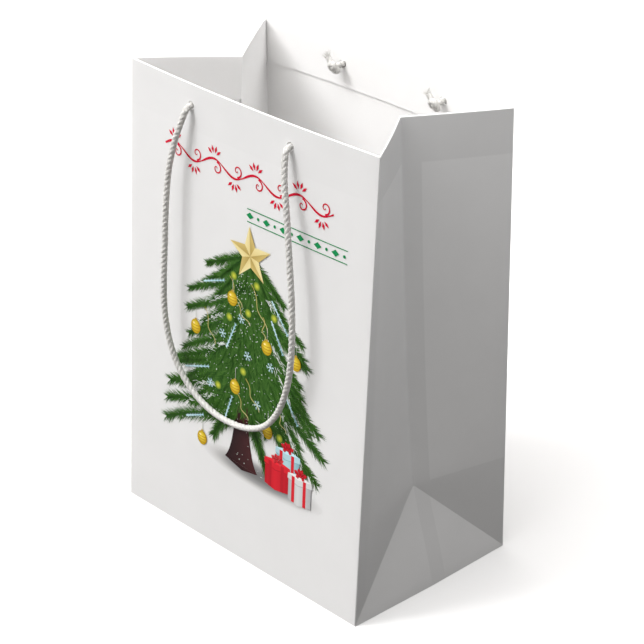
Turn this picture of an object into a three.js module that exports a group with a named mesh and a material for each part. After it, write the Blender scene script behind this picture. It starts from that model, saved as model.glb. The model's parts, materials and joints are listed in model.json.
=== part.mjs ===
// Paper gift bag with two rope handles: two printed sheets glued into a gusseted block-bottom bag.
// Units are millimetres. +Z is up, the front face looks along -Y, and the origin is the centre of
// the base on the surface that the bag stands on. The bag is modelled half settled, as it stands:
// its faces lean together a little and its side gussets fold in between them.
import * as THREE from 'three';
import { mergeVertices } from 'three/addons/utils/BufferGeometryUtils.js';

// Body of the bag
const WIDTH = 178;
const DEPTH = 112;
const HEIGHT = 254;
const LEAN = THREE.MathUtils.degToRad(2.26);
const PAPER = 0.3;
const GAP = 0.3;

// Turned-over hem and the card strip inside it
const HEM_HEIGHT = 24;
const CARD = 0.4;
const HEM_INSET = 6;
const GUSSET_HEM_START = 9;

// Side gussets
const EDGE_GAP = 0.8;
const HINGE_GAP = 1.9;
const CREASE_GAP = 0.8;
const FOLD_CLEARANCE = 1.2;
const LAP_WIDTH = 10;

// Base
const FLAP_OVERLAP = 10;
const FLAP_LIFT = PAPER + GAP;
const FLAP_STEP = 1;
const FLAP_SLACK = 0.4;
const SIDE_FLAP_REACH = 66;
const SIDE_FLAP_INSET = 2.2;
const BOARD_THICK = 1.2;
const BOARD_INSET_X = 5;
const BOARD_INSET_Y = 3;

// Handles: rope through punched holes, knotted inside
const CORD_DIAMETER = 3.4;
const CORD_SIDES = 8;
const CORD_STEPS = 64;
const HOLE_RADIUS = 2.3;
const HOLE_DROP = 11.5;
const HOLE_SPACING = 72;
const HANDLE_SHIFT = -4;
const PIVOT_OUT = 4.8;
const KNOT_RADIUS = 4.2;
const TAIL_LENGTH = 10;

const HALF = DEPTH / 2;

const paper = { color: 0xf1f0ee, roughness: 0.62, metalness: 0 };
const gussetPaper = { color: 0xe9e8e6, roughness: 0.62, metalness: 0 };
const whiteCard = { color: 0xe4e2dc, roughness: 0.85, metalness: 0 };
const greyBoard = { color: 0xcfccc4, roughness: 0.9, metalness: 0 };
const rope = { color: 0xe6e4de, roughness: 0.8, metalness: 0 };

function piece(name, geometry, finish) {
  const mesh = new THREE.Mesh(geometry, new THREE.MeshStandardMaterial(finish));
  mesh.name = name;
  return mesh;
}

function outline(points) {
  return new THREE.Shape(points.map(([x, y]) => new THREE.Vector2(x, y)));
}

function sheetFrom(shape, thickness) {
  return new THREE.ExtrudeGeometry(shape, { depth: thickness, bevelEnabled: false });
}

// A closed thin sheet from place(u, v, deep), where u and v run from 0 to 1 and deep picks the skin.
function curvedSheet(place, columns, rows) {
  const at = [];
  const index = [];
  const layer = (columns + 1) * (rows + 1);
  for (const deep of [0, 1]) {
    for (let j = 0; j <= rows; j += 1) {
      for (let i = 0; i <= columns; i += 1) at.push(...place(i / columns, j / rows, deep).toArray());
    }
  }
  const quad = (a, b, c, d) => index.push(a, b, c, a, c, d);
  const id = (i, j, deep) => deep * layer + j * (columns + 1) + i;
  for (let j = 0; j < rows; j += 1) {
    for (let i = 0; i < columns; i += 1) {
      quad(id(i, j, 0), id(i + 1, j, 0), id(i + 1, j + 1, 0), id(i, j + 1, 0));
      quad(id(i, j, 1), id(i, j + 1, 1), id(i + 1, j + 1, 1), id(i + 1, j, 1));
    }
    quad(id(0, j, 0), id(0, j + 1, 0), id(0, j + 1, 1), id(0, j, 1));
    quad(id(columns, j, 0), id(columns, j, 1), id(columns, j + 1, 1), id(columns, j + 1, 0));
  }
  for (let i = 0; i < columns; i += 1) {
    quad(id(i, 0, 0), id(i, 0, 1), id(i + 1, 0, 1), id(i + 1, 0, 0));
    quad(id(i, rows, 0), id(i + 1, rows, 0), id(i + 1, rows, 1), id(i, rows, 1));
  }
  return facingOut(at, index);
}

function facingOut(at, index) {
  const corner = (k) => new THREE.Vector3(at[3 * k], at[3 * k + 1], at[3 * k + 2]);
  let volume = 0;
  for (let k = 0; k < index.length; k += 3) {
    volume += corner(index[k]).dot(corner(index[k + 1]).cross(corner(index[k + 2])));
  }
  const turned = [];
  for (let k = 0; k < index.length; k += 3) turned.push(index[k], index[k + 2], index[k + 1]);
  const geometry = new THREE.BufferGeometry();
  geometry.setAttribute('position', new THREE.Float32BufferAttribute(at, 3));
  geometry.setIndex(volume > 0 ? index : turned);
  return geometry;
}

function tube(points, steps) {
  const path = new THREE.CatmullRomCurve3(points, false, 'centripetal');
  const section = new THREE.Shape();
  for (let k = 0; k < CORD_SIDES; k += 1) {
    const angle = (2 * Math.PI * k) / CORD_SIDES;
    const [x, y] = [Math.cos(angle), Math.sin(angle)].map((value) => (value * CORD_DIAMETER) / 2);
    if (k === 0) section.moveTo(x, y);
    else section.lineTo(x, y);
  }
  section.closePath();
  const geometry = new THREE.ExtrudeGeometry(section, { steps, extrudePath: path, bevelEnabled: false });
  geometry.deleteAttribute('normal');
  geometry.deleteAttribute('uv');
  return mergeVertices(geometry, 0.0001);
}

// A face group's own frame: x across the face, y up along the paper, z out of the bag.
function faceGroup(turn) {
  const group = new THREE.Group();
  group.rotation.set(Math.PI / 2 - LEAN, 0, 0);
  group.position.set(0, -HALF, 0);
  const side = new THREE.Group();
  side.rotation.z = turn;
  side.add(group);
  return { side, group };
}

function punched(shape) {
  for (const side of [-1, 1]) {
    const hole = new THREE.Path();
    hole.absarc(HANDLE_SHIFT + (side * HOLE_SPACING) / 2, HEIGHT - HOLE_DROP, HOLE_RADIUS, 0, 2 * Math.PI, true);
    shape.holes.push(hole);
  }
  return shape;
}

function layer(halfWidth, low, high, thickness, outerSkin) {
  const shape = outline([[-halfWidth, low], [halfWidth, low], [halfWidth, high], [-halfWidth, high]]);
  const geometry = new THREE.ExtrudeGeometry(punched(shape), {
    depth: thickness,
    bevelEnabled: false,
    curveSegments: 10,
  });
  geometry.translate(0, 0, -outerSkin - thickness);
  return geometry;
}

// The face, the card strip and the hem turned over it, from the outside in.
function facePanel(name) {
  const panel = layer(WIDTH / 2, EDGE_GAP, HEIGHT, PAPER, 0);
  return piece(name, panel, paper);
}

function hemCard(name) {
  const low = HEIGHT - HEM_HEIGHT + 1;
  const card = layer(WIDTH / 2 - HEM_INSET, low, HEIGHT - 1, CARD, PAPER + GAP);
  return piece(name, card, whiteCard);
}

function hem(name) {
  const skin = PAPER + GAP + CARD + GAP;
  const strip = layer(WIDTH / 2 - HEM_INSET, HEIGHT - HEM_HEIGHT, HEIGHT, PAPER, skin);
  return piece(name, strip, paper);
}

const HEM_INNER = 2 * PAPER + 2 * GAP + CARD;

function cordRoot(name, x) {
  const inner = HEM_INNER + GAP;
  const outer = PIVOT_OUT - CORD_DIAMETER / 2 - GAP;
  const length = inner + outer;
  const root = new THREE.CylinderGeometry(CORD_DIAMETER / 2, CORD_DIAMETER / 2, length, CORD_SIDES);
  root.rotateX(Math.PI / 2);
  root.translate(x, HEIGHT - HOLE_DROP, (outer - inner) / 2);
  return piece(name, root, rope);
}

// Overhand knot with its short frayed tail, turned about the tail's own line.
function knot(name, x, tailSide) {
  const radius = KNOT_RADIUS;
  const profile = [[0, -radius]];
  for (let k = 1; k <= 6; k += 1) {
    const angle = -Math.PI / 2 + (k * Math.PI) / 8;
    profile.push([radius * Math.cos(angle), radius * Math.sin(angle)]);
  }
  profile.push([CORD_DIAMETER / 2, radius + 1], [CORD_DIAMETER / 2 + 0.6, TAIL_LENGTH], [0, TAIL_LENGTH]);
  const solid = new THREE.LatheGeometry(profile.map(([r, y]) => new THREE.Vector2(r, y)), 10);
  const tail = new THREE.Vector3(0.42 * tailSide, 0.84, -0.34).normalize();
  solid.applyQuaternion(new THREE.Quaternion().setFromUnitVectors(new THREE.Vector3(0, 1, 0), tail));
  solid.translate(x, HEIGHT - HOLE_DROP, -HEM_INNER - 2 * GAP - radius);
  return piece(name, solid, rope);
}

// Handle rope, in the face's own frame: across the face, up the paper, and out from it.
const HANDLE_ROUTE = [
  [-40, 242.5, 4.8], [-40.4, 239, 5.8], [-42.8, 232, 7.1], [-45.6, 222, 8.2], [-48.4, 207, 9.2],
  [-49.4, 188, 9.9], [-49.8, 168, 10], [-50.4, 148, 9.9], [-50.2, 130, 9.4], [-47.6, 113, 8.2],
  [-41.5, 98.5, 6.6], [-31, 86.8, 4.8], [-18, 80.6, 3.4], [-4, 79.6, 3], [10, 82.4, 3.4],
  [23.4, 90, 4.8], [34, 102.4, 6.6], [41.2, 118, 8.2], [44.8, 134, 9.4], [45.8, 150, 10],
  [44.6, 168, 10], [42, 188, 9.9], [38.8, 207, 9.2], [35.4, 222, 8.2], [33.4, 232, 7.1],
  [32.3, 239, 5.8], [32, 242.5, 4.8],
];

function handleCord(name) {
  const points = HANDLE_ROUTE.map(([x, up, out]) => new THREE.Vector3(x, up, out));
  return piece(name, tube(points, CORD_STEPS), rope);
}

// Both faces are the same printed sheet, the back one turned half round. Left and right are the bag's.
function addFace(bag, name, turn) {
  const { side, group } = faceGroup(turn);
  const mirror = turn === 0 ? 1 : -1;
  group.add(facePanel(`${name}_panel`), hemCard(`${name}_hem_card`), hem(`${name}_hem`));
  for (const [label, sign] of [['left', -1], ['right', 1]]) {
    const x = HANDLE_SHIFT + (mirror * sign * HOLE_SPACING) / 2;
    group.add(cordRoot(`${name}_cord_root_${label}`, x), knot(`${name}_knot_${label}`, x, -mirror));
  }
  group.add(handleCord(`${name}_handle_cord`));
  bag.add(side);
}

// How far a gusset half has folded in at a height up the side edge, measured from the bag's depth line.
function foldAngle(up) {
  const height = Math.max(up, HALF);
  return Math.acos((HALF - height * Math.sin(LEAN)) / (HALF * Math.cos(LEAN)));
}

// A point on a gusset half: up the side edge, reach from that edge, and depth into the bag.
function gussetPoint(sideX, sideY, up, reach, deep) {
  const angle = foldAngle(up);
  const inX = new THREE.Vector3(-sideX, 0, 0);
  const inFace = new THREE.Vector3(0, -sideY * Math.cos(LEAN), -Math.sin(LEAN));
  const edge = new THREE.Vector3(
    (sideX * WIDTH) / 2,
    sideY * (HALF - up * Math.sin(LEAN)),
    up * Math.cos(LEAN),
  );
  return edge
    .addScaledVector(inX, reach * Math.sin(angle) + deep * Math.cos(angle))
    .addScaledVector(inFace, reach * Math.cos(angle) - deep * Math.sin(angle));
}

const REACH_END = HALF - FOLD_CLEARANCE;
const HEM_LOW = HEIGHT - HEM_HEIGHT;

// Heights of a gusset sheet's rows. The first row follows the slanting crease of the base tuck.
function gussetRows(top) {
  const rows = [null];
  const steps = 7;
  const start = HALF + 2 * CREASE_GAP;
  for (let k = 0; k <= steps; k += 1) rows.push(start + (k / steps) * (HEM_LOW - start));
  rows.push(top);
  return rows;
}

function gussetSheet(sideX, sideY, [from, to], rows, skin, columns) {
  const place = (u, v, deep) => {
    const reach = from + u * (to - from);
    const row = rows[Math.round(v * (rows.length - 1))];
    const up = row === null ? reach + CREASE_GAP : row;
    return gussetPoint(sideX, sideY, up, reach, skin + deep * PAPER);
  };
  return curvedSheet(place, columns, rows.length - 1);
}

function addGusset(bag, label, sideX) {
  for (const [face, sideY] of [['front', -1], ['back', 1]]) {
    const half = gussetSheet(sideX, sideY, [HINGE_GAP, REACH_END], gussetRows(HEIGHT), 0, 4);
    bag.add(piece(`${label}_gusset_${face}`, half, gussetPaper));
    const skin = face === 'back' ? 2 * (PAPER + GAP) : PAPER + GAP;
    const strip = gussetSheet(sideX, sideY, [GUSSET_HEM_START, REACH_END], [HEM_LOW, HEIGHT], skin, 3);
    bag.add(piece(`${label}_gusset_${face}_hem`, strip, gussetPaper));
  }
  const lap = gussetSheet(sideX, 1, [HALF - LAP_WIDTH, REACH_END], gussetRows(HEIGHT - 1), PAPER + GAP, 1);
  bag.add(piece(`${label}_glue_lap`, lap, gussetPaper));
}

// The triangle that the base tucks up into each side, hinged on the base's side edge.
function addBaseTuck(bag, label, sideX) {
  const inset = CREASE_GAP;
  const reach = HALF - inset * (1 + Math.SQRT2);
  const shape = outline([[-reach, inset], [reach, inset], [0, inset + reach]]);
  const tuck = piece(`${label}_base_tuck`, sheetFrom(shape, PAPER), gussetPaper);
  const across = new THREE.Vector3(0, sideX, 0);
  const angle = foldAngle(HALF);
  const up = new THREE.Vector3(-sideX * Math.sin(angle), 0, Math.cos(angle));
  const out = new THREE.Vector3().crossVectors(across, up);
  tuck.quaternion.setFromRotationMatrix(new THREE.Matrix4().makeBasis(across, up, out));
  tuck.position.set((sideX * WIDTH) / 2, 0, 0).addScaledVector(out, -PAPER);
  bag.add(tuck);
}

// Front and back base flaps: trapezoids that overlap along the middle, the back one stepped up
// over the front one.
function baseFlap(name, sideY, lift) {
  const tip = HALF + FLAP_OVERLAP;
  const edge = HALF - FLAP_OVERLAP - FLAP_STEP;
  const steps = lift > 0 ? [0, edge - FLAP_STEP, edge, tip] : [0, tip];
  const rise = [0, 0, lift, lift];
  const place = (u, v, deep) => {
    const row = Math.round(v * (steps.length - 1));
    const reach = steps[row];
    const halfWidth = WIDTH / 2 - reach - FLAP_SLACK;
    return new THREE.Vector3((2 * u - 1) * halfWidth, sideY * (HALF - reach), rise[row] + deep * PAPER);
  };
  return piece(name, curvedSheet(place, 1, steps.length - 1), paper);
}

function sideFlap(name, sideX, low) {
  const flap = new THREE.BoxGeometry(SIDE_FLAP_REACH, DEPTH - 2 * SIDE_FLAP_INSET, PAPER);
  const x = sideX * (WIDTH / 2 - SIDE_FLAP_INSET - SIDE_FLAP_REACH / 2);
  flap.translate(x, 0, low + PAPER / 2);
  return piece(name, flap, gussetPaper);
}

function baseBoard(low) {
  const size = [WIDTH - 2 * BOARD_INSET_X, DEPTH - 2 * BOARD_INSET_Y, BOARD_THICK];
  const board = new THREE.BoxGeometry(...size);
  board.translate(0, 0, low + BOARD_THICK / 2);
  return piece('base_board', board, greyBoard);
}

function addBase(bag) {
  bag.add(baseFlap('base_front_flap', -1, 0), baseFlap('base_back_flap', 1, FLAP_LIFT));
  const sideLow = 2 * FLAP_LIFT;
  bag.add(sideFlap('base_left_flap', -1, sideLow), sideFlap('base_right_flap', 1, sideLow));
  bag.add(baseBoard(sideLow + PAPER + GAP));
}

const group = new THREE.Group();
addBase(group);
addFace(group, 'front', 0);
addFace(group, 'back', Math.PI);
for (const [label, sideX] of [['left', -1], ['right', 1]]) {
  addGusset(group, label, sideX);
  addBaseTuck(group, label, sideX);
}

export default group;
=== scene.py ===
import json
import math
import random

import bpy
from mathutils import Matrix, Vector


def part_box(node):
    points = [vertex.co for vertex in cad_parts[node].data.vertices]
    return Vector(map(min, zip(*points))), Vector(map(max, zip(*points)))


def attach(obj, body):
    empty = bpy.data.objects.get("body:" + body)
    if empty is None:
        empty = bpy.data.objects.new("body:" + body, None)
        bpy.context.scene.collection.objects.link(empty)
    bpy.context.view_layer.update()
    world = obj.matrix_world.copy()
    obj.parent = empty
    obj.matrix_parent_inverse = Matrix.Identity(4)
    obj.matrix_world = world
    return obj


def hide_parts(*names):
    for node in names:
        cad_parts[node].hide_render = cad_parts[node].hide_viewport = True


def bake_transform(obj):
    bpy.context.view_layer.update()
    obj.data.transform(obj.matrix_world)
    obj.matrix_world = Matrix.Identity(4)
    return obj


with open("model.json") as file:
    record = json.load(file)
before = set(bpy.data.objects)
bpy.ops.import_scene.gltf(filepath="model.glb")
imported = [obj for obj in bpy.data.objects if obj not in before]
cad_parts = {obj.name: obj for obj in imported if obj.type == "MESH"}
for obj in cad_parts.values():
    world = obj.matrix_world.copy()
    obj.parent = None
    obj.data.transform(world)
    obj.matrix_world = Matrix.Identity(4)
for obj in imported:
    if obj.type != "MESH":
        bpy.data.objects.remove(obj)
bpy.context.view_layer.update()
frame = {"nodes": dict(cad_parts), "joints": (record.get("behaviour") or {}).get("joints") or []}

# ---------------------------------------------------------------------------------------------
# Camera. A short telephoto view of the bag's front right corner, from a little above it, so that
# the front face, one side gusset and the inside of the mouth all show.
azimuth = math.radians(45.77)
elevation = math.radians(26.95)
roll = math.radians(-0.71)
target = Vector((0, 0, 0.127))
distance = 1.144
slide_right = -0.0033
slide_up = 0.0059
away = Vector((
    math.sin(azimuth) * math.cos(elevation),
    -math.cos(azimuth) * math.cos(elevation),
    math.sin(elevation),
))
level = Vector((math.cos(azimuth), math.sin(azimuth), 0))
upright = away.cross(level)
camera_right = level * math.cos(roll) - upright * math.sin(roll)
camera_up = level * math.sin(roll) + upright * math.cos(roll)
lens = bpy.data.cameras.new("camera")
lens.lens = 122.8
lens.sensor_width = 36
camera = bpy.data.objects.new("camera", lens)
turned = Matrix((camera_right, camera_up, away)).transposed().to_4x4()
camera.matrix_world = Matrix.Translation(
    target - camera_right * slide_right - camera_up * slide_up + away * distance
) @ turned
bpy.context.scene.collection.objects.link(camera)
bpy.context.scene.camera = camera

# ---------------------------------------------------------------------------------------------
# Rope handles. Three strands of soft off-white cotton laid into a 3.4 mm rope, threaded through
# punched holes from inside, so that a loop hangs down over each face.
MM = 0.001
FACES = ((-1, "front"), (1, "back"))
edge_line = next(Vector(j["axis"]) for j in frame["joints"] if j["name"] == "left_gusset_front_fold")
lean = math.asin(abs(edge_line.y))
half_depth = -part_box("base_front_flap")[0].y
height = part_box("front_panel")[1].z / math.cos(lean)
hole_up = height - 11.5 * MM
rope_radius = 1.7 * MM
rope_lay = 8.6 * MM
strands = 3
groove_depth = 0.16
yarns_around = 24
yarns_along = 9

# The loop's route as millimetres across, up and out from the face. Its first and last two points
# give only the places of the holes, where the rope bends out as HOLE_BEND says.
HANDLE_ROUTE = [
    [-40, 242.5, 4.8], [-40.4, 239, 5.8], [-42.8, 232, 7.1], [-45.6, 222, 8.2], [-48.4, 207, 9.2],
    [-49.4, 188, 9.9], [-49.8, 168, 10], [-50.4, 148, 9.9], [-50.2, 130, 9.4], [-47.6, 113, 8.2],
    [-41.5, 98.5, 6.6], [-31, 86.8, 4.8], [-18, 80.6, 3.4], [-4, 79.6, 3], [10, 82.4, 3.4],
    [23.4, 90, 4.8], [34, 102.4, 6.6], [41.2, 118, 8.2], [44.8, 134, 9.4], [45.8, 150, 10],
    [44.6, 168, 10], [42, 188, 9.9], [38.8, 207, 9.2], [35.4, 222, 8.2], [33.4, 232, 7.1],
    [32.3, 239, 5.8], [32, 242.5, 4.8],
]
HOLE_BEND = [[0, 242.6, -0.6], [0, 242.5, 1.4], [-0.1, 241.9, 3.9], [-0.3, 240, 5.7]]


def face_line(side, x, up, out):
    """A point held off a face, without the bow of its paper: side is -1 at the front, 1 at the back."""
    return Vector((
        x,
        side * (half_depth - up * math.sin(lean) + out * math.cos(lean)),
        up * math.cos(lean) + out * math.sin(lean),
    ))


def smooth_line(points, step):
    """Evenly spaced points on a smooth curve through the given points."""
    fine = []
    pieces = 24
    ends = [points[0] * 2 - points[1], *points, points[-1] * 2 - points[-2]]
    for a, b, c, d in zip(ends, ends[1:], ends[2:], ends[3:]):
        for k in range(pieces):
            t = k / pieces
            fine.append(0.5 * (2 * b + (c - a) * t + (2 * a - 5 * b + 4 * c - d) * t * t
                               + (3 * b - a - 3 * c + d) * t ** 3))
    fine.append(points[-1])
    lengths = [0.0]
    for a, b in zip(fine, fine[1:]):
        lengths.append(lengths[-1] + (b - a).length)
    count = max(2, round(lengths[-1] / step))
    line, k = [], 0
    for n in range(count + 1):
        want = lengths[-1] * n / count
        while k < len(fine) - 2 and lengths[k + 1] < want:
            k += 1
        share = (want - lengths[k]) / max(lengths[k + 1] - lengths[k], 1e-9)
        line.append(fine[k].lerp(fine[k + 1], share))
    return line


def mesh_piece(name, points, faces, finish):
    """A new piece with the given mesh and finish."""
    mesh = bpy.data.meshes.new(name)
    mesh.from_pydata(points, [], faces)
    mesh.materials.append(finish)
    piece = bpy.data.objects.new(name, mesh)
    bpy.context.scene.collection.objects.link(piece)
    return piece


def laid_rope(name, line, radius, lay, sides=24):
    """A laid rope along a line of points, closed at both ends, with its lay in its UV map."""
    normal = (line[1] - line[0]).normalized().orthogonal().normalized()
    points, faces, runs = [], [], []
    run = 0.0
    for k, centre in enumerate(line):
        ahead = (line[min(k + 1, len(line) - 1)] - line[max(k - 1, 0)]).normalized()
        normal = (normal - ahead * normal.dot(ahead)).normalized()
        across = ahead.cross(normal)
        run += (centre - line[k - 1]).length if k else 0.0
        runs.append(run)
        for s in range(sides):
            around = 2 * math.pi * s / sides
            lobe = 1 - groove_depth + groove_depth * abs(math.cos(strands / 2 * around)) ** 0.8
            turn = around + 2 * math.pi * run / lay
            points.append(centre + (normal * math.cos(turn) + across * math.sin(turn)) * radius * lobe)
    for k in range(len(line) - 1):
        for s in range(sides):
            a, b = k * sides + s, k * sides + (s + 1) % sides
            faces.append((a, b, b + sides, a + sides))
    for end, centre in ((0, line[0]), (len(line) - 1, line[-1])):
        points.append(centre)
        for s in range(sides):
            a, b = end * sides + s, end * sides + (s + 1) % sides
            faces.append((b, a, len(points) - 1) if end == 0 else (a, b, len(points) - 1))
    rope = mesh_piece(name, points, faces, cotton)
    layer = rope.data.uv_layers.new(name="lay")
    for polygon in rope.data.polygons:
        polygon.use_smooth = True
        for loop, vertex in zip(polygon.loop_indices, polygon.vertices):
            if vertex >= len(line) * sides:
                layer.data[loop].uv = (0.5, 0.0)
                continue
            k, s = divmod(vertex, sides)
            at_seam = s == 0 and polygon.vertices[0] % sides == sides - 1
            layer.data[loop].uv = (1.0 if at_seam else s / sides, runs[k] / lay)
    return rope


def handle_points(side):
    """The back handle is the front one's twin, turned half round with its face."""
    start = [(HANDLE_ROUTE[0][0] + dx, up, out) for dx, up, out in HOLE_BEND]
    end = [(HANDLE_ROUTE[-1][0] - dx, up, out) for dx, up, out in reversed(HOLE_BEND)]
    route = start + HANDLE_ROUTE[2:-2] + end
    return [face_line(side, -side * x * MM, up * MM, out * MM) for x, up, out in route]


def feed(tree, node, inputs):
    """Gives each named input another node's output, or a plain value."""
    for name, source in inputs.items():
        if isinstance(source, bpy.types.NodeSocket):
            tree.links.new(source, node.inputs[name])
        else:
            node.inputs[name].default_value = source


def add_node(tree, kind, inputs=None, **settings):
    node = tree.nodes.new("ShaderNode" + kind)
    for setting, choice in settings.items():
        setattr(node, setting, choice)
    feed(tree, node, inputs or {})
    return node


def new_material(name):
    """A material, with its node tree and its shader."""
    material = bpy.data.materials.new(name)
    material.use_nodes = True
    return material, material.node_tree, material.node_tree.nodes["Principled BSDF"]


def rope_material():
    """Cotton with fine yarns along its lay, and painted shade that darkens it in the grooves between the
    strands.
    """
    material, tree, shader = new_material("cotton_rope")
    half_strand = 0.5 / strands
    lay = add_node(tree, "UVMap", uv_map="lay")
    split = add_node(tree, "SeparateXYZ", {"Vector": lay.outputs["UV"]})
    around = add_node(tree, "Math", {0: split.outputs["X"], 1: yarns_around}, operation="MULTIPLY")
    yarn = add_node(tree, "Math", {0: split.outputs["Y"], 1: -yarns_along, 2: around.outputs[0]},
                    operation="MULTIPLY_ADD")
    turn = add_node(tree, "Math", {0: yarn.outputs[0], 1: 2 * math.pi}, operation="MULTIPLY")
    wave = add_node(tree, "Math", {0: turn.outputs[0]}, operation="SINE")
    # Painted shade: the colour darkens from each strand's crown towards the grooves beside it.
    groove_painted_shade = add_node(tree, "Math", {0: split.outputs["X"], 1: half_strand}, operation="PINGPONG")
    shade = add_node(tree, "MapRange", {
        "Value": groove_painted_shade.outputs[0], "From Min": 0.09, "From Max": half_strand, "To Min": 0.0, "To Max": 0.35})
    place = add_node(tree, "TexCoord")
    fuzz = add_node(tree, "TexNoise", {"Vector": place.outputs["Object"], "Scale": 2600, "Detail": 3})
    colour = add_node(tree, "Mix", data_type="RGBA")
    feed(tree, colour, {0: shade.outputs[0], 6: (0.84, 0.83, 0.80, 1), 7: (0.56, 0.54, 0.50, 1)})
    speck = add_node(tree, "Mix", data_type="RGBA", blend_type="MULTIPLY")
    feed(tree, speck, {0: 0.18, 6: colour.outputs[2], 7: fuzz.outputs["Color"]})
    relief = add_node(tree, "Math", {0: fuzz.outputs["Fac"], 1: 0.5, 2: wave.outputs[0]},
                      operation="MULTIPLY_ADD")
    bump = add_node(tree, "Bump", {"Height": relief.outputs[0], "Strength": 0.5, "Distance": 0.0002})
    feed(tree, shader, {"Base Color": speck.outputs[2], "Roughness": 0.85, "Sheen Weight": 0.25,
                        "Normal": bump.outputs["Normal"]})
    return material


cotton = rope_material()
for side, face in FACES:
    line = smooth_line(handle_points(side), 0.6 * MM)
    handle = laid_rope(f"{face}_rope_handle", line, rope_radius, rope_lay)
    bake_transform(handle)
    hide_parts(f"{face}_handle_cord", f"{face}_cord_root_left", f"{face}_cord_root_right")
    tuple(line[0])

# ---------------------------------------------------------------------------------------------
# Stopper knots. Each rope end is tied in an overhand knot inside the bag, so that it can't pull
# back through its hole, and its cut end has frayed into a small tuft of loose cotton fibres.
HANDS = ((-1, "left"), (1, "right"))
hole_spacing = 72 * MM
handle_shift = -4 * MM
knot_radius = 1.65 * MM
knot_lay = 7.5 * MM
knot_deep = 4.0 * MM
knot_wide = 0.95 * MM
knot_tall = 1.15 * MM
knot_thick = 0.70 * MM
TAILS = {"front": (-4.6, 0.2, -1.6), "back": (-4.0, 0.4, 4.4)}
fibre_count = 70
fibre_long = 4.0 * MM
fibre_radius = 0.16 * MM
rng = random.Random(11)


def spaced(low, high, count):
    return [low + (high - low) * k / count for k in range(count + 1)]


def hole_x(side, hand):
    """Where a handle hole is, across its face. The back face is the front one turned half round."""
    return -side * handle_shift + hand * hole_spacing / 2


def knot_points(side, x, tail):
    """The rope's path from its hole, round an overhand knot and out to its tail, into the bag."""
    middle_x, middle_up = x - 1.0 * MM, hole_up - 0.4 * MM
    line = [face_line(side, x, hole_up + 0.1 * MM, -0.6 * MM), face_line(side, x, hole_up, -1.9 * MM)]
    for t in spaced(-1.78, 1.78, 22):
        across = t ** 3 - 3 * t
        along = t ** 4 - 4 * t ** 2 + 2
        through = (t ** 5 - 10 * t) / 5
        line.append(face_line(side, middle_x - along * knot_wide, middle_up + across * knot_tall,
                              -(knot_deep + through * knot_thick)))
    knot_end = line[-1]
    for far in (0.45, 0.75, 1.0):
        line.append(knot_end + Vector((tail[0] * far, -side * tail[1] * far, tail[2] * far)) * MM)
    return line


def tuft(name, root, heading, fibres, long):
    """Loose fibres spreading from a cut rope end, each a thin three-sided taper."""
    points, faces = [], []
    aim = heading.normalized()
    side_way = aim.orthogonal().normalized()
    other_way = aim.cross(side_way)
    for _ in range(fibres):
        angle, ring = rng.uniform(0, 2 * math.pi), math.sqrt(rng.random())
        spread = (side_way * math.cos(angle) + other_way * math.sin(angle)) * ring
        curl_way = (side_way * rng.uniform(-1, 1) + other_way * rng.uniform(-1, 1)) * 1.3 * MM
        reach = long * rng.uniform(0.55, 1.0)
        first = len(points)
        for t in spaced(0, 1, 4):
            base = root - aim * 0.8 * MM + spread * (1.1 + 1.3 * t) * MM
            centre = base + aim * reach * t + curl_way * t * t
            wide = fibre_radius * (1 - 0.75 * t)
            for s in range(3):
                turn = 2 * math.pi * s / 3
                points.append(centre + (side_way * math.cos(turn) + other_way * math.sin(turn)) * wide)
        for k in range(4):
            for s in range(3):
                a, b = first + 3 * k + s, first + 3 * k + (s + 1) % 3
                faces.append((a, b, b + 3, a + 3))
        faces.append((first + 12, first + 13, first + 14))
        faces.append((first + 2, first + 1, first))
    piece = mesh_piece(name, points, faces, cotton)
    piece.data.uv_layers.new(name="lay")
    return piece


for side, face in FACES:
    for hand, label in HANDS:
        line = smooth_line(knot_points(side, hole_x(side, hand), TAILS[face]), 0.45 * MM)
        knot = laid_rope(f"{face}_{label}_knot_rope", line, knot_radius, knot_lay, sides=18)
        fray = tuft(f"{face}_{label}_knot_tuft", line[-1], line[-1] - line[-4], fibre_count, fibre_long)
        for piece in (knot, fray):
            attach(piece, f"{face}_face")
        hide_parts(f"{face}_knot_{label}")

# ---------------------------------------------------------------------------------------------
# Front and back faces. Each is the middle of a sheet of semi-matte coated paper, creased round into
# the gussets at its side edges, leaning in from its bottom crease and bowed out a little at the
# mouth. Two holes are punched near the rim for the rope.
half_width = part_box("front_panel")[1].x
paper_thick = 0.3 * MM
crease_radius = 0.9 * MM
rim_radius = 0.5 * MM
rim_up = height - rim_radius
base_up = 0.4 * MM
hole_radius = 2.3 * MM
rim_bow = {-1: 3.0 * MM, 1: 4.0 * MM}
gusset_bow = {-1: 0.5 * MM, 1: 0.4 * MM}
smooth_angle = math.radians(40)


def face_spot(side, x, up, deep=0.0):
    """A point on a face's bowed paper, or a little way deep into the bag from it."""
    bow = rim_bow[side] * max(0.0, 1 - (x / half_width) ** 2) * (up / height) ** 1.6
    return face_line(side, x, up, bow - deep)


def fold_angle(up):
    """How far the gusset halves turn out of the side plane, at a height up the side edge."""
    tall = max(up, half_depth)
    return math.acos((half_depth - tall * math.sin(lean)) / (half_depth * math.cos(lean)))


def gusset_spot(side_x, side, up, reach, deep=0.0):
    """A point on a gusset half: up the side edge, reach in from it, and deep into the bag."""
    angle = fold_angle(up)
    into_x = Vector((-side_x, 0, 0))
    into_y = Vector((0, -side * math.cos(lean), -math.sin(lean)))
    across = into_x * math.sin(angle) + into_y * math.cos(angle)
    inward = into_x * math.cos(angle) - into_y * math.sin(angle)
    fullness = math.sin(math.pi * min(reach / half_depth, 1.0)) * (up / height) ** 3
    belly = gusset_bow[side] * fullness
    return face_spot(side, side_x * half_width, up) + across * reach + inward * (deep - belly)


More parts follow.
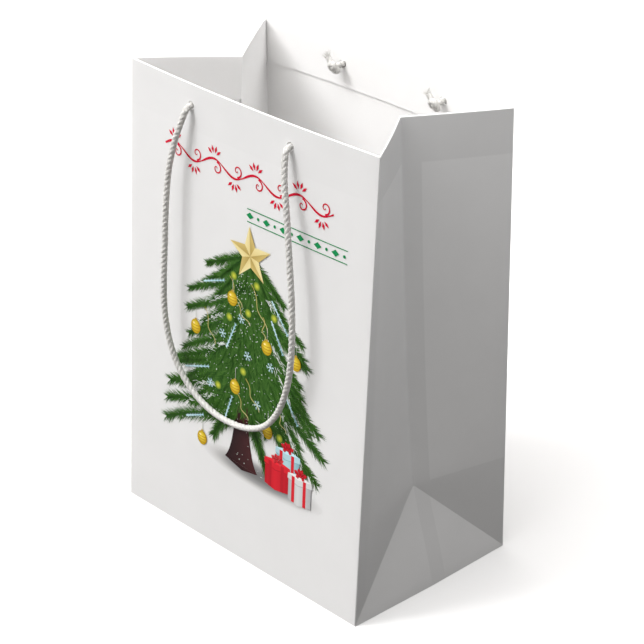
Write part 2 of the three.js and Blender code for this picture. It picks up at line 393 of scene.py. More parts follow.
def make_grain_and_shade_group():
    """Fine fibres and faint clouding, and painted shade: the second input dims the colour, standing in for
    the light that doubled paper lets through less and for shade on some facets.
    """
    group = bpy.data.node_groups.new("Grain and painted shade", "ShaderNodeTree")
    for name, kind, way in (
        ("Colour", "NodeSocketColor", "INPUT"), ("Layer", "NodeSocketFloat", "INPUT"),
        ("Colour", "NodeSocketColor", "OUTPUT"), ("Roughness", "NodeSocketFloat", "OUTPUT"),
        ("Height", "NodeSocketFloat", "OUTPUT"),
    ):
        group.interface.new_socket(name, in_out=way, socket_type=kind)
    given, result = group.nodes.new("NodeGroupInput"), group.nodes.new("NodeGroupOutput")
    place = add_node(group, "TexCoord").outputs["Object"]
    grain = add_node(group, "TexNoise", {"Vector": place, "Scale": 1800, "Detail": 4}).outputs["Fac"]
    cloud = add_node(group, "TexNoise", {"Vector": place, "Scale": 55, "Detail": 5}).outputs["Fac"]
    tint = add_node(group, "MapRange", {
        "Value": cloud, "From Min": 0.3, "From Max": 0.7, "To Min": 0.978, "To Max": 1.0})
    # Painted shade: the bands dim the colour by a tenth of their strength.
    painted_dimming = add_node(group, "Math", {0: given.outputs["Layer"], 1: -0.10, 2: tint.outputs[0]},
                    operation="MULTIPLY_ADD")
    scale = add_node(group, "VectorMath", {0: given.outputs["Colour"], "Scale": painted_dimming.outputs[0]},
                     operation="SCALE")
    rough = add_node(group, "MapRange", {"Value": grain, "To Min": 0.42, "To Max": 0.60})
    feed(group, result, {"Colour": scale.outputs[0], "Roughness": rough.outputs[0], "Height": grain})
    return group


grain_and_shade = make_grain_and_shade_group()


def painted_shade_band(tree, split, axis, starts, ends, soft, strength):
    """A band of painted shade on the sheet, from one edge to another along an axis of its UV map."""
    band = add_node(tree, "Math", operation="SUBTRACT")
    for k, edge in enumerate((starts, ends)):
        step = add_node(tree, "MapRange", interpolation_type="SMOOTHSTEP")
        feed(tree, step, {"Value": split.outputs[axis], "To Max": strength,
                          "From Min": edge - soft, "From Max": edge + soft})
        feed(tree, band, {k: step.outputs[0]})
    return band.outputs[0]


def paper_material(name, colour, painted_shade_bands=()):
    """Paper whose UV map is millimetres across from its fold and up. Its list of bands gives where
    painted shade darkens it: (axis, where it starts, where it ends, softness of its edges, strength)."""
    material, tree, shader = new_material(name)
    grain = add_node(tree, "Group", node_tree=grain_and_shade)
    feed(tree, grain, {"Colour": (*colour, 1)})
    if painted_shade_bands:
        sheet = add_node(tree, "UVMap", uv_map="sheet")
        split = add_node(tree, "SeparateXYZ", {"Vector": sheet.outputs["UV"]})
        total, *others = [painted_shade_band(tree, split, *layer) for layer in painted_shade_bands]
        for other in others:
            total = add_node(tree, "Math", {0: total, 1: other}, operation="MAXIMUM").outputs[0]
        feed(tree, grain, {"Layer": total})
    bump = add_node(tree, "Bump", {"Height": grain.outputs["Height"], "Strength": 0.10, "Distance": 0.0001})
    feed(tree, shader, {"Base Color": grain.outputs["Colour"], "Roughness": grain.outputs["Roughness"],
                        "Specular IOR Level": 0.4, "Normal": bump.outputs["Normal"]})
    return material


# The outer side of the paper, a darker white than the inside paper below: lit and shaded copies of one paper,
# the difference painted light.
white = (0.706, 0.706, 0.706)
# Bands of painted shade. Where the paper lies doubled, over the hems, the glue lap and beside the tuck's
# seam, it is darker, for the light that two layers let through less. The front gusset half is darker near its
# front edge, and both halves below the tuck crease, for shade on those facets. The tuck is also darker along
# its foot.
face_paper = paper_material("face_paper", white, [("Y", 230, 300, 0.5, 0.15)])
front_gusset_paper = paper_material("front_gusset_paper", white, [
    ("Y", 230, 300, 0.6, 0.8), ("X", -50, 10, 3, 0.5), ("Y", -50, 56, 9, 0.25)])
back_gusset_paper = paper_material("back_gusset_paper", white, [
    ("X", 46, 100, 0.5, 0.8), ("Y", 230, 300, 0.6, 0.8), ("Y", -50, 56, 0.5, 0.8)])
tuck_paper = paper_material("tuck_paper", white, [("X", 0, 10, 0.4, 0.6), ("Y", -50, 3, 3, 0.5)])
# The inside paper, on every sheet's inner side and edges, the hems, the rim card and the base: a brighter
# white than the outer paper, painted light for the light that comes through the sheets and bounces round
# inside the bag.
hem_paper = paper_material("hem_paper", (0.90, 0.895, 0.89))


def new_grid(name, across, along):
    """A flat grid, one metre square, to be shaped."""
    bpy.ops.object.select_all(action="DESELECT")
    bpy.ops.mesh.primitive_grid_add(x_subdivisions=across, y_subdivisions=along, size=1)
    grid = bpy.context.active_object
    grid.name = grid.data.name = name
    return grid


def thicken(piece, thick, way, other_slot=0):
    """Gives a surface its thickness along its normals, where way is 1, or against them."""
    solid = piece.modifiers.new("thickness", "SOLIDIFY")
    solid.thickness = thick
    solid.offset = way
    solid.material_offset = solid.material_offset_rim = other_slot
    bpy.ops.object.modifier_apply(modifier="thickness")


def sheet_of_paper(name, columns, rows, place, finish, thick=paper_thick, inward=-1):
    """A sheet shaped from a grid: columns and rows list its lines, and place(column, row) gives the
    visible surface and its UV. The thickness goes to the inward side. The first finish is on the side
    that the normals point to, and the second on the other side and the edges."""
    sheet = new_grid(name, len(columns) - 1, len(rows) - 1)
    for side_finish in (finish, hem_paper) if inward < 0 else (hem_paper, finish):
        sheet.data.materials.append(side_finish)
    layer = sheet.data.uv_layers.new(name="sheet")
    spots = [place(column, row) for row in rows for column in columns]
    for vertex, (point, _) in zip(sheet.data.vertices, spots):
        vertex.co = point
    for loop in sheet.data.loops:
        layer.data[loop.index].uv = spots[loop.vertex_index][1]
    thicken(sheet, thick, inward, other_slot=1)
    bpy.ops.object.mode_set(mode="EDIT")
    bpy.ops.mesh.select_all(action="SELECT")
    bpy.ops.mesh.remove_doubles(threshold=0.01 * MM)
    bpy.ops.object.mode_set(mode="OBJECT")
    bpy.ops.object.shade_smooth_by_angle(angle=smooth_angle)
    return sheet


def wrapped(flat_end, corner, next_end, t):
    """A point on the rounded crease between two sheets, t from 0 on this sheet to 1 on the next."""
    return flat_end * (1 - t) ** 2 + corner * 2 * t * (1 - t) + next_end * t * t


def face_columns():
    """Lines across a face: round its left crease, over its flat middle and round its right crease."""
    flat = [("flat", 0, x) for x in spaced(crease_radius - half_width, half_width - crease_radius, 40)]
    round_left = [("wrap", -1, t) for t in (1.0, 0.8, 0.6, 0.4, 0.2)]
    return round_left + flat + [("wrap", 1, t) for t in (0.2, 0.4, 0.6, 0.8, 1.0)]


def face_place(side):
    def place(column, up):
        kind, side_x, value = column
        if kind == "flat":
            return face_spot(side, value, up), ((half_width - abs(value)) / MM, up / MM)
        flat_end = face_spot(side, side_x * (half_width - crease_radius), up)
        corner = face_spot(side, side_x * half_width, up)
        next_end = gusset_spot(side_x, side, up, crease_radius)
        return wrapped(flat_end, corner, next_end, value), (0, up / MM)
    return place


def punch(sheet, side):
    """Cuts the two handle holes through a sheet."""
    for hand, _ in HANDS:
        bpy.ops.object.select_all(action="DESELECT")
        bpy.ops.mesh.primitive_cylinder_add(
            vertices=40, radius=hole_radius, depth=20 * MM,
            location=face_spot(side, hole_x(side, hand), hole_up),
            rotation=(math.pi / 2 + side * lean, 0, 0),
        )
        cutter = bpy.context.active_object
        cut = sheet.modifiers.new("hole", "BOOLEAN")
        cut.operation = "DIFFERENCE"
        cut.object = cutter
        bpy.context.view_layer.objects.active = sheet
        bpy.ops.object.modifier_apply(modifier="hole")
        bpy.data.objects.remove(cutter)


for side, face in FACES:
    panel = sheet_of_paper(f"{face}_face_paper", face_columns(), spaced(base_up, rim_up, 44),
                           face_place(side), face_paper, inward=side)
    punch(panel, side)
    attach(panel, f"{face}_face")
    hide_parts(f"{face}_panel")

# ---------------------------------------------------------------------------------------------
# Hem. The top of each sheet is turned over to the inside round a thin strip of card, which
# stiffens the rim and carries the handles. The free lower edge of the hem shows inside the bag.
hem_height = 24 * MM
face_hem_deep = 2 * rim_radius
gusset_hem_deep = 0.75 * MM
mitre = 1.9
card_thick = 0.3 * MM
card_deep = 0.35 * MM
card_margin = 4 * MM


def turned_rows(deep):
    """(depth, height up the paper) down a hem: round the rim, then down the inside."""
    radius = deep / 2
    arc = [(radius - radius * math.cos(a), rim_up + rim_radius * math.sin(a))
           for a in spaced(0, math.pi, 8)]
    return arc + [(deep, up) for up in spaced(rim_up, height - hem_height, 8)[1:]]


def hem_place(side):
    def place(column, row):
        deep, up = row
        x = column * (half_width - max(crease_radius, deep * mitre))
        return face_spot(side, x, up, deep), ((half_width - abs(x)) / MM, up / MM)
    return place


def card_place(side):
    def place(column, up):
        return face_spot(side, column * (half_width - card_margin), up, card_deep), (0, 0)
    return place


for side, face in FACES:
    hem = sheet_of_paper(f"{face}_hem_paper", spaced(-1, 1, 40), turned_rows(face_hem_deep),
                         hem_place(side), hem_paper, inward=side)
    card = sheet_of_paper(f"{face}_rim_card", spaced(-1, 1, 30), spaced(height - 23 * MM, height - 1 * MM, 6),
                          card_place(side), hem_paper, thick=card_thick, inward=side)
    for piece, node, slot in ((hem, "hem", "paper"), (card, "hem_card", "hem_card")):
        punch(piece, side)
        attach(piece, f"{face}_face")
        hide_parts(f"{face}_{node}")

# ---------------------------------------------------------------------------------------------
# Side gussets. Each half is turned in from its side edge, more towards the rim, and the two halves meet in a
# soft valley fold. A 10 mm lap up the inside of the back half glues the two sheets together.
fold_wrap = 1.0 * MM
lap_width = 10 * MM
lap_deep = 0.75 * MM
lap_gap = 0.4 * MM
hem_gap = 0.03 * MM


def gusset_place(side_x, side, deep=0.0):
    """Columns are reach in from the side edge. Rows run from 0 to 1 up the slanting crease of the
    tuck, and from 1 to 2 up the rest of the side edge."""
    def place(reach, row):
        if row <= 1:
            up = reach + (half_depth - reach) * row
        else:
            up = half_depth + (rim_up - half_depth) * (row - 1)
        return gusset_spot(side_x, side, up, reach, deep), (reach / MM, up / MM)
    return place


def gusset_rows():
    return spaced(0, 1, 6) + spaced(1, 2, 24)[1:]


def half_gusset_place(side_x, side):
    """A gusset half, rounded into the centre fold over its last column lines."""
    here_place, there_place = gusset_place(side_x, side), gusset_place(side_x, -side)
    flat_reach = half_depth - fold_wrap

    def place(reach, row):
        if reach <= flat_reach:
            return here_place(reach, row)
        corner, uv = here_place(half_depth, row)
        here, there = here_place(flat_reach, row)[0], there_place(flat_reach, row)[0]
        return wrapped(here, corner, there, (reach - flat_reach) / fold_wrap / 2), uv
    return place


def gusset_hem_place(side_x, side):
    def place(column, row):
        deep, up = row
        start = max(crease_radius, deep * mitre)
        stop = half_depth + deep * math.tan(fold_angle(up)) - hem_gap
        reach = start + column * (stop - start)
        return gusset_spot(side_x, side, up, reach, deep), (reach / MM, up / MM)
    return place


def lap_place(side_x):
    beside_fold = gusset_place(side_x, 1, lap_deep)

    def place(column, row):
        start = half_depth - lap_width
        return beside_fold(start + column * (half_depth - lap_gap - start), row)
    return place


def ride_gusset(piece):
    """Bakes a gusset piece's placement into its mesh."""
    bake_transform(piece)


for side_x, hand in HANDS:
    for side, face in FACES:
        columns = spaced(crease_radius, half_depth - fold_wrap, 18)
        columns += [half_depth - fold_wrap * t for t in (0.7, 0.35, 0.0)]
        half = sheet_of_paper(f"{hand}_{face}_gusset_paper", columns, gusset_rows(),
                              half_gusset_place(side_x, side),
                              back_gusset_paper if face == "back" else front_gusset_paper,
                              inward=side_x * side)
        ride_gusset(half)
        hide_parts(f"{hand}_gusset_{face}")

        deep = gusset_hem_deep if face == "front" else gusset_hem_deep + paper_thick
        strip = sheet_of_paper(f"{hand}_{face}_gusset_hem_paper", spaced(0, 1, 16), turned_rows(deep),
                               gusset_hem_place(side_x, side), hem_paper, inward=side_x * side)
        ride_gusset(strip)
        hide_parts(f"{hand}_gusset_{face}_hem")

    lap = sheet_of_paper(f"{hand}_glue_lap_paper", spaced(0, 1, 5), gusset_rows(), lap_place(side_x),
                         hem_paper, inward=side_x)
    ride_gusset(lap)
    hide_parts(f"{hand}_glue_lap")

# ---------------------------------------------------------------------------------------------
# Foot of the gussets. The base pulls a triangle of each gusset's paper outward at the bottom. It is
# creased down its middle, and it tucks up flat against the side when the bag is folded.
tuck_angle = fold_angle(half_depth)
tuck_ridge = 1.1 * MM


def tuck_place(side_x):
    def place(column, row):
        y = column * half_depth * (1 - row)
        tall = max(row * half_depth, 0.1 * MM)
        x = side_x * (half_width - tall * math.sin(tuck_angle))
        ridge = tuck_ridge * (1 - abs(column)) * math.sin(math.pi * min(row + 0.3, 1.0))
        return Vector((x + side_x * ridge, y, tall * math.cos(tuck_angle))), (y / MM, tall / MM)
    return place


for side_x, hand in HANDS:
    tuck = sheet_of_paper(f"{hand}_tuck_paper", spaced(-1, 1, 24), spaced(0, 1, 14), tuck_place(side_x),
                          tuck_paper, inward=-side_x)
    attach(tuck, f"{hand}_tuck")
    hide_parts(f"{hand}_base_tuck")

# ---------------------------------------------------------------------------------------------
# Base. Four flaps of the same paper, folded over each other and glued, close the bottom. A loose
# card lies on them to carry the gift, and its corners have curled up a little.
# The flaps, like the card below, take the brighter inside paper: painted light.
for node in ("base_front_flap", "base_back_flap", "base_left_flap", "base_right_flap"):
    frame["nodes"][node].data.materials.clear()
    frame["nodes"][node].data.materials.append(hem_paper)

board_low, board_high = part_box("base_board")
board_thick = 1.1 * MM
board_curl = 0.5 * MM
board = new_grid("base_card", 24, 16)
for vertex in board.data.vertices:
    across, along = vertex.co.x * 2, vertex.co.y * 2
    vertex.co = Vector((
        across * board_high.x,
        along * board_high.y,
        board_low.z + (across * across + along * along) / 2 * board_curl,
    ))
thicken(board, board_thick, 1)
bpy.ops.object.shade_smooth_by_angle(angle=smooth_angle)
board.data.materials.append(hem_paper)
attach(board, "base")
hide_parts("base_board")

# ---------------------------------------------------------------------------------------------
# Print on the front. A decorated fir tree with gifts under an ornamental scroll, litho printed in
# thin layers of matt ink. A layer is flat strokes just above the paper, drawn in millimetres.
ink_base = 0.08 * MM
ink_layer = 0.06 * MM


def printed_finish():
    """Matt ink that takes its colour from the strokes."""
    material, tree, shader = new_material("printed_ink")
    ink = add_node(tree, "VertexColor", layer_name="ink")
    grain = add_node(tree, "Group", node_tree=grain_and_shade)
    feed(tree, grain, {"Colour": ink.outputs["Color"]})
    feed(tree, shader, {"Base Color": grain.outputs["Colour"], "Roughness": grain.outputs["Roughness"],
                        "Specular IOR Level": 0.05})
    return material


printed = printed_finish()


def between(a, b, t):
    """The point or colour that lies a share t of the way from a to b."""
    return tuple(p * (1 - t) + q * t for p, q in zip(a, b))


def polar(x, y, size, angle):
    """The point that lies a given size away from (x, y), at an angle."""
    return x + size * math.cos(angle), y + size * math.sin(angle)


class Ink:
    """One printed layer: a stack of flat coloured strokes."""

    def __init__(self, name, level):
        self.name, self.level = name, level
        self.points, self.faces, self.colours, self.stack = [], [], [], []

    def patch(self, outline, colours):
        """One polygon; colours is one colour, or one for each corner."""
        if not isinstance(colours[0], (tuple, list)):
            colours = [colours] * len(outline)
        self.stack += [len(self.faces)] * len(outline)
        turn = sum(a[0] * b[1] - b[0] * a[1] for a, b in zip(outline, outline[1:] + outline[:1]))
        if turn < 0:
            outline, colours = outline[::-1], colours[::-1]
        first = len(self.points)
        self.points += outline
        self.colours += colours
        self.faces.append(tuple(range(first, first + len(outline))))

    def disc(self, x, y, rx, ry, inner, outer, sides=14, shift=(0.0, 0.0)):
        """An oval, shaded from a centre that may be shifted to its rim."""
        turns = [2 * math.pi * k / sides for k in range(sides)]
        ring = [(x + rx * math.cos(turn), y + ry * math.sin(turn)) for turn in turns]
        for a, b in zip(ring, ring[1:] + ring[:1]):
            self.patch([(x + shift[0], y + shift[1]), a, b], [inner, outer, outer])

    def stroke(self, line, widths, colours):
        """A ribbon along a line; widths and colours run from its start to its end."""
        edges = []
        for k, (x, y) in enumerate(line):
            ax, ay = line[max(k - 1, 0)]
            bx, by = line[min(k + 1, len(line) - 1)]
            size = math.hypot(bx - ax, by - ay) or 1.0
            t = k / (len(line) - 1)
            half = (widths[0] * (1 - t) + widths[1] * t) / 2
            nx, ny = -(by - ay) / size * half, (bx - ax) / size * half
            edges.append(((x + nx, y + ny), (x - nx, y - ny), between(*colours, t)))
        for (a, b, tint), (c, d, other) in zip(edges, edges[1:]):
            self.patch([b, d, c, a], [tint, other, other, tint])

    def petal(self, start, end, angle, half, widest, colours):
        """A pointed leaf from start to end, widest a given share of the way along."""
        mid = between(start, end, widest)
        across = (-math.sin(angle) * half, math.cos(angle) * half)
        left, right = (mid[0] + across[0], mid[1] + across[1]), (mid[0] - across[0], mid[1] - across[1])
        self.patch([start, right, end, left], colours)

    def lay(self):
        """Puts the layer on the front face, each stroke a hair above the one before."""
        points = [face_spot(-1, x * MM, y * MM, -ink_base - (self.level + n / len(self.faces)) * ink_layer)
                  for (x, y), n in zip(self.points, self.stack)]
        piece = mesh_piece(self.name, points, self.faces, printed)
        piece.data.validate()
        layer = piece.data.color_attributes.new("ink", "FLOAT_COLOR", "POINT")
        for k, colour in enumerate(self.colours):
            layer.data[k].color = (*colour, 1)
        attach(piece, "front_face")


def curve(start, middle, end, count=12):
    return [tuple(start[c] * (1 - t) ** 2 + middle[c] * 2 * t * (1 - t) + end[c] * t * t for c in (0, 1))
            for t in spaced(0, 1, count)]


# Soft shadow on the ground under the tree and the gifts.
shadow = Ink("printed_shadow", 0)
rings = [(1.0, white), (0.82, (0.58, 0.575, 0.57)), (0.6, (0.33, 0.33, 0.33)), (0.3, (0.20, 0.20, 0.20)),
         (0.02, (0.17, 0.17, 0.17))]
slices = 40
for (big, outer), (small, inner) in zip(rings, rings[1:]):
    for k in range(slices):
        spots = []
        for scale, n in ((big, k), (big, k + 1), (small, k + 1), (small, k)):
            angle = 2 * math.pi * n / slices
            spots.append((17 + 45 * scale * math.cos(angle), 55.5 + 8.5 * scale * math.sin(angle)))
        shadow.patch(spots, [outer, outer, inner, inner])
shadow.lay()

# Boughs behind, then the trunk, then boughs from the bottom of the tree up to its top.
green_deep, green_mid, green_tip = (0.008, 0.040, 0.003), (0.030, 0.105, 0.010), (0.09, 0.20, 0.04)
needle_half = 0.34


def bough(ink, line, reach, needles):
    """A fir branch: a stem with needles swept towards its tip on both sides."""
    ink.stroke(line, (2.2, 0.6), (green_deep, green_deep))
    for n in range(needles):
        t = (n + rng.random()) / needles
        k = min(int(t * (len(line) - 1)), len(line) - 2)
        here, ahead = line[k], line[k + 1]
        x, y = between(here, ahead, t * (len(line) - 1) - k)
        side = 1 if n % 2 else -1
        angle = math.atan2(ahead[1] - here[1], ahead[0] - here[0]) + side * rng.uniform(0.22, 0.75)
        size = reach * (1.0 - 0.45 * t) * rng.uniform(0.65, 1.15)
        shade = rng.random() ** 1.4
        root, far = between(green_deep, green_mid, shade), between(green_mid, green_tip, shade)
        px, py = -math.sin(angle) * needle_half, math.cos(angle) * needle_half
        ink.patch([(x - px, y - py), polar(x, y, size, angle), (x + px, y + py)], [root, far, root])


back_boughs = Ink("printed_back_boughs", 1)
back_boughs.patch([(5, 172), (-12, 140), (-26, 104), (-14, 88), (24, 86), (38, 100), (22, 140)], green_deep)
for tip_x, tip_up, rise in (
    (-57, 73, 14), (-55, 84, 14), (-58, 61, 20), (57, 69, 26), (61, 84, 24), (57, 97, 22),
    (-48, 98, 14), (44, 112, 20), (47, 130, 16), (-20, 66, 22), (20, 62, 26),
):
    start = (4 + tip_x * 0.08, tip_up + rise)
    middle = (tip_x * 0.55, tip_up + rise * 0.75)
    bough(back_boughs, curve(start, middle, (tip_x, tip_up)), 11.5, 330)
back_boughs.lay()

trunk = Ink("printed_trunk", 2)
bark_dark, bark_light = (0.014, 0.004, 0.005), (0.050, 0.013, 0.014)
left_side, right_side = curve((-11, 57), (-4, 64), (-2.5, 100)), curve((14, 55.5), (6, 64), (5.5, 100))
for a, b, c, d in zip(left_side, right_side, right_side[1:], left_side[1:]):
    trunk.patch([a, b, c, d], [bark_dark, bark_light, bark_light, bark_dark])
trunk.patch([(-11, 57), (2, 53.5), (14, 55.5)], [bark_dark, bark_dark, bark_light])
trunk.lay()

front_boughs = Ink("printed_front_boughs", 3)
tiers = [
    ((-46, 86), (-38, 78), (44, 84), (50, 72), (34, 74)),
    ((-50, 100), (-40, 92), (52, 95), (40, 88), (-26, 84)),
    ((-44, 108), (-30, 100), (47, 106), (30, 98), (-12, 94), (16, 92)),
    ((-32, 120), (-40, 117), (43, 118), (33, 112), (-16, 108), (14, 106)),
    ((-41, 132), (-30, 127), (45, 134), (34, 126), (-10, 120), (18, 120)),
    ((-40, 143), (-28, 138), (44, 141), (30, 140), (-12, 132), (20, 134)),
    ((-28, 151), (-18, 147), (31, 150), (24, 146), (4, 140), (-6, 146)),
    ((-26, 162), (-16, 158), (30, 158), (20, 155), (2, 152), (12, 150)),
]
for row, tips in enumerate(tiers):
    for tip_x, tip_up in tips:
        start = (5 + tip_x * 0.05, min(114 + row * 9.5, 175))
        middle = (5 + (tip_x - 5) * 0.55, tip_up + (start[1] - tip_up) * 0.55)
        bough(front_boughs, curve(start, middle, (tip_x, tip_up)), 10.5 - row * 0.35, 230)
    low = 76 + row * 9
    spread = 42 - row * 3.6
    for _ in range(9):
        x = rng.uniform(-spread, spread) + 4
        start = (5 + (x - 5) * 0.35, low + rng.uniform(16, 22))
        middle = (5 + (x - 5) * 0.75, low + 14)
        bough(front_boughs, curve(start, middle, (x, low + rng.uniform(-2, 4))), 7.0, 70)
front_boughs.lay()

# Snow resting between the boughs, flakes, icy twigs and a loose gold thread.
frost = Ink("printed_frost", 4)
snow = (0.74, 0.78, 0.76)
pale_ice, deep_ice = (0.55, 0.74, 0.80), (0.28, 0.52, 0.62)
gold_thread, gold_light = (0.50, 0.42, 0.10), (0.66, 0.62, 0.30)
for x0, y0, x1, y1 in (
    (-31, 112, -12, 122), (-34, 126, -14, 138), (-30, 140, -10, 149), (18, 158, 29, 147), (24, 124, 36, 108),
    (34, 92, 46, 74), (30, 100, 40, 84), (-40, 78, -22, 88), (-36, 90, -20, 96), (22, 134, 34, 122),
):
    for _ in range(26):
        x, y = between((x0, y0), (x1, y1), rng.random())
        x += rng.uniform(-1.4, 1.4)
        y += rng.uniform(-1.2, 1.2)
        slope = math.atan2(y1 - y0, x1 - x0) + rng.uniform(-0.5, 0.5)
        frost.stroke([(x, y), polar(x, y, rng.uniform(1.5, 4), slope)], (0.35, 0.08), (snow, snow))
for _ in range(420):
    up = rng.uniform(58, 166)
    spread = 2 + (172 - up) * 0.50
    x = rng.uniform(-spread, spread) + 4
    dot = rng.uniform(0.16, 0.36)
    frost.disc(x, up, dot, dot, (0.8, 0.84, 0.82), (0.62, 0.70, 0.62), sides=5)
for x, y in ((0, 140), (-14, 127), (5, 121), (22, 121), (-23, 95), (13, 96)):
    for k in range(6):
        angle = math.pi / 3 * k + 0.2
        frost.stroke([(x, y), polar(x, y, 2.7, angle)], (0.45, 0.3), (pale_ice, pale_ice))
        mid = polar(x, y, 1.5, angle)
        for turn in (-0.7, 0.7):
            frost.stroke([mid, polar(*mid, 1.1, angle + turn)], (0.32, 0.2), (pale_ice, deep_ice))
for x0, y0, x1, y1 in (
    (-11, 120, -4, 136), (-43, 97, -24, 104), (22, 158, 34, 143), (22, 147, 31, 131),
    (-12, 77, -6, 94), (33, 110, 43, 96), (-42, 68, -28, 74), (-29, 151, -13, 157),
):
    frost.stroke([(x0, y0), (x1, y1)], (0.9, 0.6), (pale_ice, deep_ice))
    heading = math.atan2(y1 - y0, x1 - x0)
    for k in range(7):
        x, y = between((x0, y0), (x1, y1), (k + 0.5) / 7)
        for turn in (-0.8, 0.8):
            frost.stroke([(x, y), polar(x, y, 1.5, heading + turn)], (0.4, 0.2), (pale_ice, pale_ice))
for x0, y0, x1, y1 in (
    (-9, 160, 0, 146), (7, 161, 19, 139), (-4, 148, 6, 138), (-28, 136, -20, 118), (16, 146, 17, 134),
    (4, 107, 14, 92), (-2, 96, 6, 84), (28, 98, 34, 88),
):
    line = [(x0 + (x1 - x0) * t + 1.1 * math.sin(t * 9), y0 + (y1 - y0) * t + 0.8 * math.cos(t * 7))
            for t in spaced(0, 1, 14)]
    frost.stroke(line, (0.4, 0.4), (gold_thread, gold_light))
frost.lay()

# Small glowing lights and round gold baubles hung on threads.
baubles = Ink("printed_baubles", 5)
thread_dark, thread_light = (0.35, 0.36, 0.30), (0.55, 0.58, 0.52)
band_light, band_dark = (0.42, 0.20, 0.01), (0.34, 0.16, 0.01)
for x, y in ((-6, 162), (11, 162), (5, 145), (24, 149), (-9, 138), (2, 111), (-17, 96), (30, 84)):
    baubles.disc(x, y, 2.5, 2.5, (0.62, 0.62, 0.06), (0.06, 0.16, 0.02), sides=12)
for x, y in ((-7, 149), (-35, 123), (19, 131), (40, 130), (-4, 100), (-29, 60), (21, 84)):
    baubles.stroke([(x + 0.2, y + 3.6), (x + 0.4, y + 11)], (0.3, 0.3), (thread_dark, thread_light))
    baubles.disc(x, y, 3.7, 4.1, (0.84, 0.66, 0.07), (0.44, 0.28, 0.006), sides=20, shift=(-0.8, 1.0))
    baubles.disc(x - 1.4, y + 1.6, 0.9, 0.7, (0.90, 0.84, 0.50), (0.84, 0.66, 0.14), sides=10)
    for up in (y - 1.6, y, y + 1.6):
        turns = spaced(math.pi, 2 * math.pi, 8)[1:-1]
        band = [(x + 3.4 * math.cos(turn), up + 1.0 * math.sin(turn)) for turn in turns]
        baubles.stroke(band, (0.35, 0.35), (band_light, band_dark))
    cap = [(x - 0.7, y + 3.8), (x + 0.9, y + 3.8), (x + 0.9, y + 4.8), (x - 0.7, y + 4.8)]
    baubles.patch(cap, (0.45, 0.30, 0.06))
baubles.lay()

# The star: five folded points, each with a light and a dark side.
star = Ink("printed_star", 6)
light_side, dark_side = ((0.80, 0.70, 0.36), (0.68, 0.54, 0.22)), ((0.60, 0.46, 0.16), (0.40, 0.28, 0.08))
half_point = 0.628
for k in range(5):
    tip_angle = math.radians(94 + 72 * k)
    tip = polar(6, 177, 15.5, tip_angle)
    for turn, (tint, shade) in ((half_point, light_side), (-half_point, dark_side)):
        notch = polar(6, 177, 6.4, tip_angle + turn)
        star.patch([(6, 176.5), tip, notch], [shade, tint, tint])
star.lay()

# Three wrapped gifts with ribbons and bows.
gifts = Ink("printed_gifts", 6)
skew = 1.6


def gift(x0, x1, low, high, light, dark, ribbon):
    """A box seen on its corner, with a lid, and a ribbon down each side."""
    middle = x0 + (x1 - x0) * 0.42
    lid = high - (high - low) * 0.2
    edge, top = lid + skew, high + skew
    gifts.patch([(x0, low + skew), (middle, low), (middle, lid), (x0, edge)], [dark, light, light, dark])
    gifts.patch([(middle, low), (x1, low + skew), (x1, edge), (middle, lid)], [light, dark, dark, light])
    gifts.patch([(x0 - 0.7, edge), (middle, lid - 0.2), (x1 + 0.7, edge), (x1 + 0.4, top), (middle, high),
                 (x0 - 0.4, top)], light)
    gifts.patch([(x0 - 0.4, top), (middle, high), (x1 + 0.4, top), (middle + 1, top + skew)],
                tuple(min(0.9, c * 1.25) for c in light))
    for x in (x0 - 0.5, x1 + 0.5):
        gifts.stroke([(x, edge - 0.2), (middle, lid - 0.4)], (0.4, 0.4), (dark, dark))
    for centre in ((x0 + middle) / 2, (middle + x1) / 2):
        left, right, foot, head = centre - 1.1, centre + 1.1, low + skew / 2, high + skew / 2
        gifts.patch([(left, foot), (right, foot), (right, head), (left, head)], ribbon)


def bow(x, y, tint, shade):
    for angle, long in ((0.35, 5.0), (2.8, 5.0), (1.2, 4.2), (1.95, 4.2), (-0.5, 3.6), (3.6, 3.6)):
        gifts.petal((x, y), polar(x, y, long, angle), angle, 1.3, 0.7, [shade, tint, tint, shade])
    gifts.disc(x, y, 1.2, 1.1, tint, shade, sides=10)


crimson, crimson_dark = (0.62, 0.018, 0.030), (0.30, 0.006, 0.012)
sky, sky_dark = (0.42, 0.62, 0.68), (0.22, 0.40, 0.46)
silver, silver_dark = (0.64, 0.64, 0.64), (0.40, 0.40, 0.41)
gift(28, 45, 62, 77, sky, sky_dark, crimson)
bow(36, 80, crimson, crimson_dark)
gift(20, 38, 53, 68, crimson, (0.42, 0.010, 0.020), (0.44, 0.012, 0.022))
bow(29, 70.5, (0.70, 0.05, 0.06), crimson_dark)
gift(37.5, 54, 51, 66, silver, silver_dark, crimson)
bow(46, 69, crimson, crimson_dark)
gifts.lay()

# An ornamental scroll across the top in red, with a fine green border under its right half.
scroll = Ink("printed_scroll", 1)
vine_red, curl_red, leaf_green = (0.60, 0.008, 0.035), (0.52, 0.006, 0.030), (0.010, 0.24, 0.075)
vine_up, vine_left, vine_long, vine_wave = 217, -60, 122, 3.0
half_waves = 8


def curl(x, y, size, start, turns):
    """A tendril that winds in to its middle; turns is negative where it winds clockwise."""
    line = [polar(x, y, size * (1 - t) ** 0.8, start + turns * 2 * math.pi * t) for t in spaced(0, 1, 22)]
    scroll.stroke(line, (1.0, 0.35), (vine_red, curl_red))


def vine_width(t):
    return 0.55 + 0.75 * abs(math.sin(t * half_waves * math.pi + 0.6))


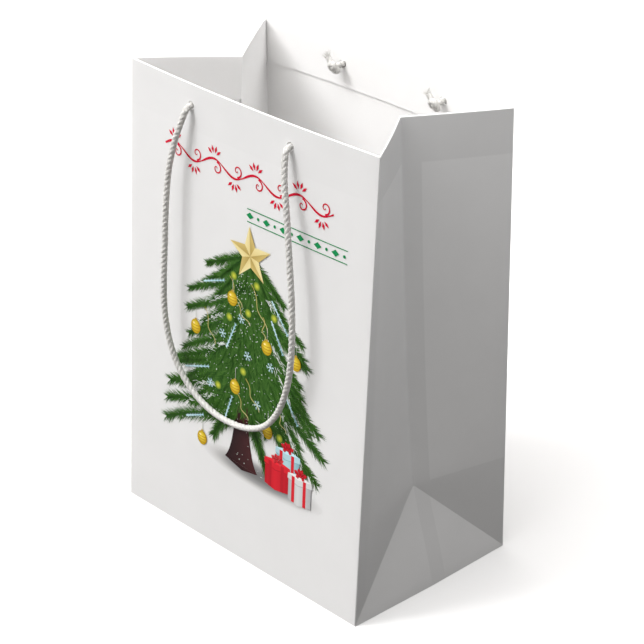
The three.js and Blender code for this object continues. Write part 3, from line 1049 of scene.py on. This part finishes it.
steps = spaced(0, 1, 110)
vine = [(vine_left + vine_long * t, vine_up + vine_wave * math.sin(t * half_waves * math.pi)) for t in steps]
for k, (t, after) in enumerate(zip(steps, steps[1:])):
    scroll.stroke([vine[k], vine[k + 1]], (vine_width(t), vine_width(after)), (vine_red, curl_red))
for k in range(half_waves):
    x = vine_left + vine_long * (k + 0.5) / half_waves
    hand = -1 if k % 2 else 1
    y = vine_up + hand * vine_wave
    curl(x + 2.0, y - hand * 4.6, 3.4, hand * math.pi / 2, -hand * 1.15)
    for turn in (-0.9, -0.3, 0.3, 0.9):
        angle = hand * math.pi / 2 + turn
        near, far = polar(x, y + hand, 2.0, angle), polar(x, y + hand, 6.2, angle)
        scroll.petal(near, far, angle, 0.85, 0.5, vine_red)
for k in range(12):
    x = 5 + 5.9 * k
    if k % 2:
        scroll.disc(x, 198, 0.9, 0.9, leaf_green, leaf_green, sides=10)
    else:
        scroll.patch([(x - 2.6, 198), (x, 196.2), (x + 2.6, 198), (x, 199.8)], leaf_green)
for up in (194.6, 201.4):
    scroll.stroke([(x, up) for x in spaced(3, 72, 24)], (0.5, 0.5), (leaf_green, leaf_green))
scroll.lay()

# ---------------------------------------------------------------------------------------------
# Studio. A pale plain floor inside a white surround, soft lamps at the front left and overhead, a
# small one over the right gusset, and a white glow that is strongest from the left.
bpy.ops.object.select_all(action="DESELECT")
bpy.ops.mesh.primitive_plane_add(size=12)
floor = bpy.context.active_object
floor.name = "floor"
floor_finish, tree, shader = new_material("floor")
feed(tree, shader, {"Base Color": (0.93, 0.93, 0.93, 1), "Roughness": 0.9})
floor.data.materials.append(floor_finish)
floor.visible_diffuse = False

bpy.ops.object.select_all(action="DESELECT")
bpy.ops.mesh.primitive_cylinder_add(
    vertices=96, radius=5.9, depth=10, end_fill_type="NOTHING", location=(0, 0, 4))
backdrop = bpy.context.active_object
backdrop.name = "backdrop"
backdrop_finish, tree, shader = new_material("backdrop")
feed(tree, shader, {"Emission Color": (1, 1, 1, 1), "Emission Strength": 0.9})
backdrop.data.materials.append(backdrop_finish)
backdrop.visible_diffuse = backdrop.visible_glossy = backdrop.visible_shadow = False


def soft_light(name, place, aim, size, power):
    light = bpy.data.lights.new(name, "AREA")
    light.size = size
    light.energy = power
    lamp = bpy.data.objects.new(name, light)
    lamp.location = place
    lamp.rotation_euler = (Vector(aim) - Vector(place)).to_track_quat("-Z", "Y").to_euler()
    bpy.context.scene.collection.objects.link(lamp)


soft_light("key", (-1.2, -1.7, 2.5), (0, 0, 0.12), 1.2, 70)
soft_light("overhead", (-0.3, -0.7, 2.7), (0, 0, 0), 2.2, 46)
soft_light("fill", (0.36, 0.10, 0.50), (0.09, 0, 0.24), 0.25, 0.78)
world = bpy.data.worlds.new("surround")
world.use_nodes = True
tree = world.node_tree
heading = add_node(tree, "TexCoord")
toward = add_node(tree, "VectorMath", operation="DOT_PRODUCT")
feed(tree, toward, {0: heading.outputs["Generated"], 1: Vector((-0.7, -0.3, 0.6)).normalized()})
glow = add_node(tree, "MapRange", {
    "Value": toward.outputs["Value"], "From Min": -0.7, "From Max": 0.8, "To Min": 0.0, "To Max": 0.94})
feed(tree, tree.nodes["Background"], {"Color": (1, 0.97, 0.945, 1), "Strength": glow.outputs[0]})
bpy.context.scene.world = world
bpy.context.scene.view_settings.view_transform = "Standard"
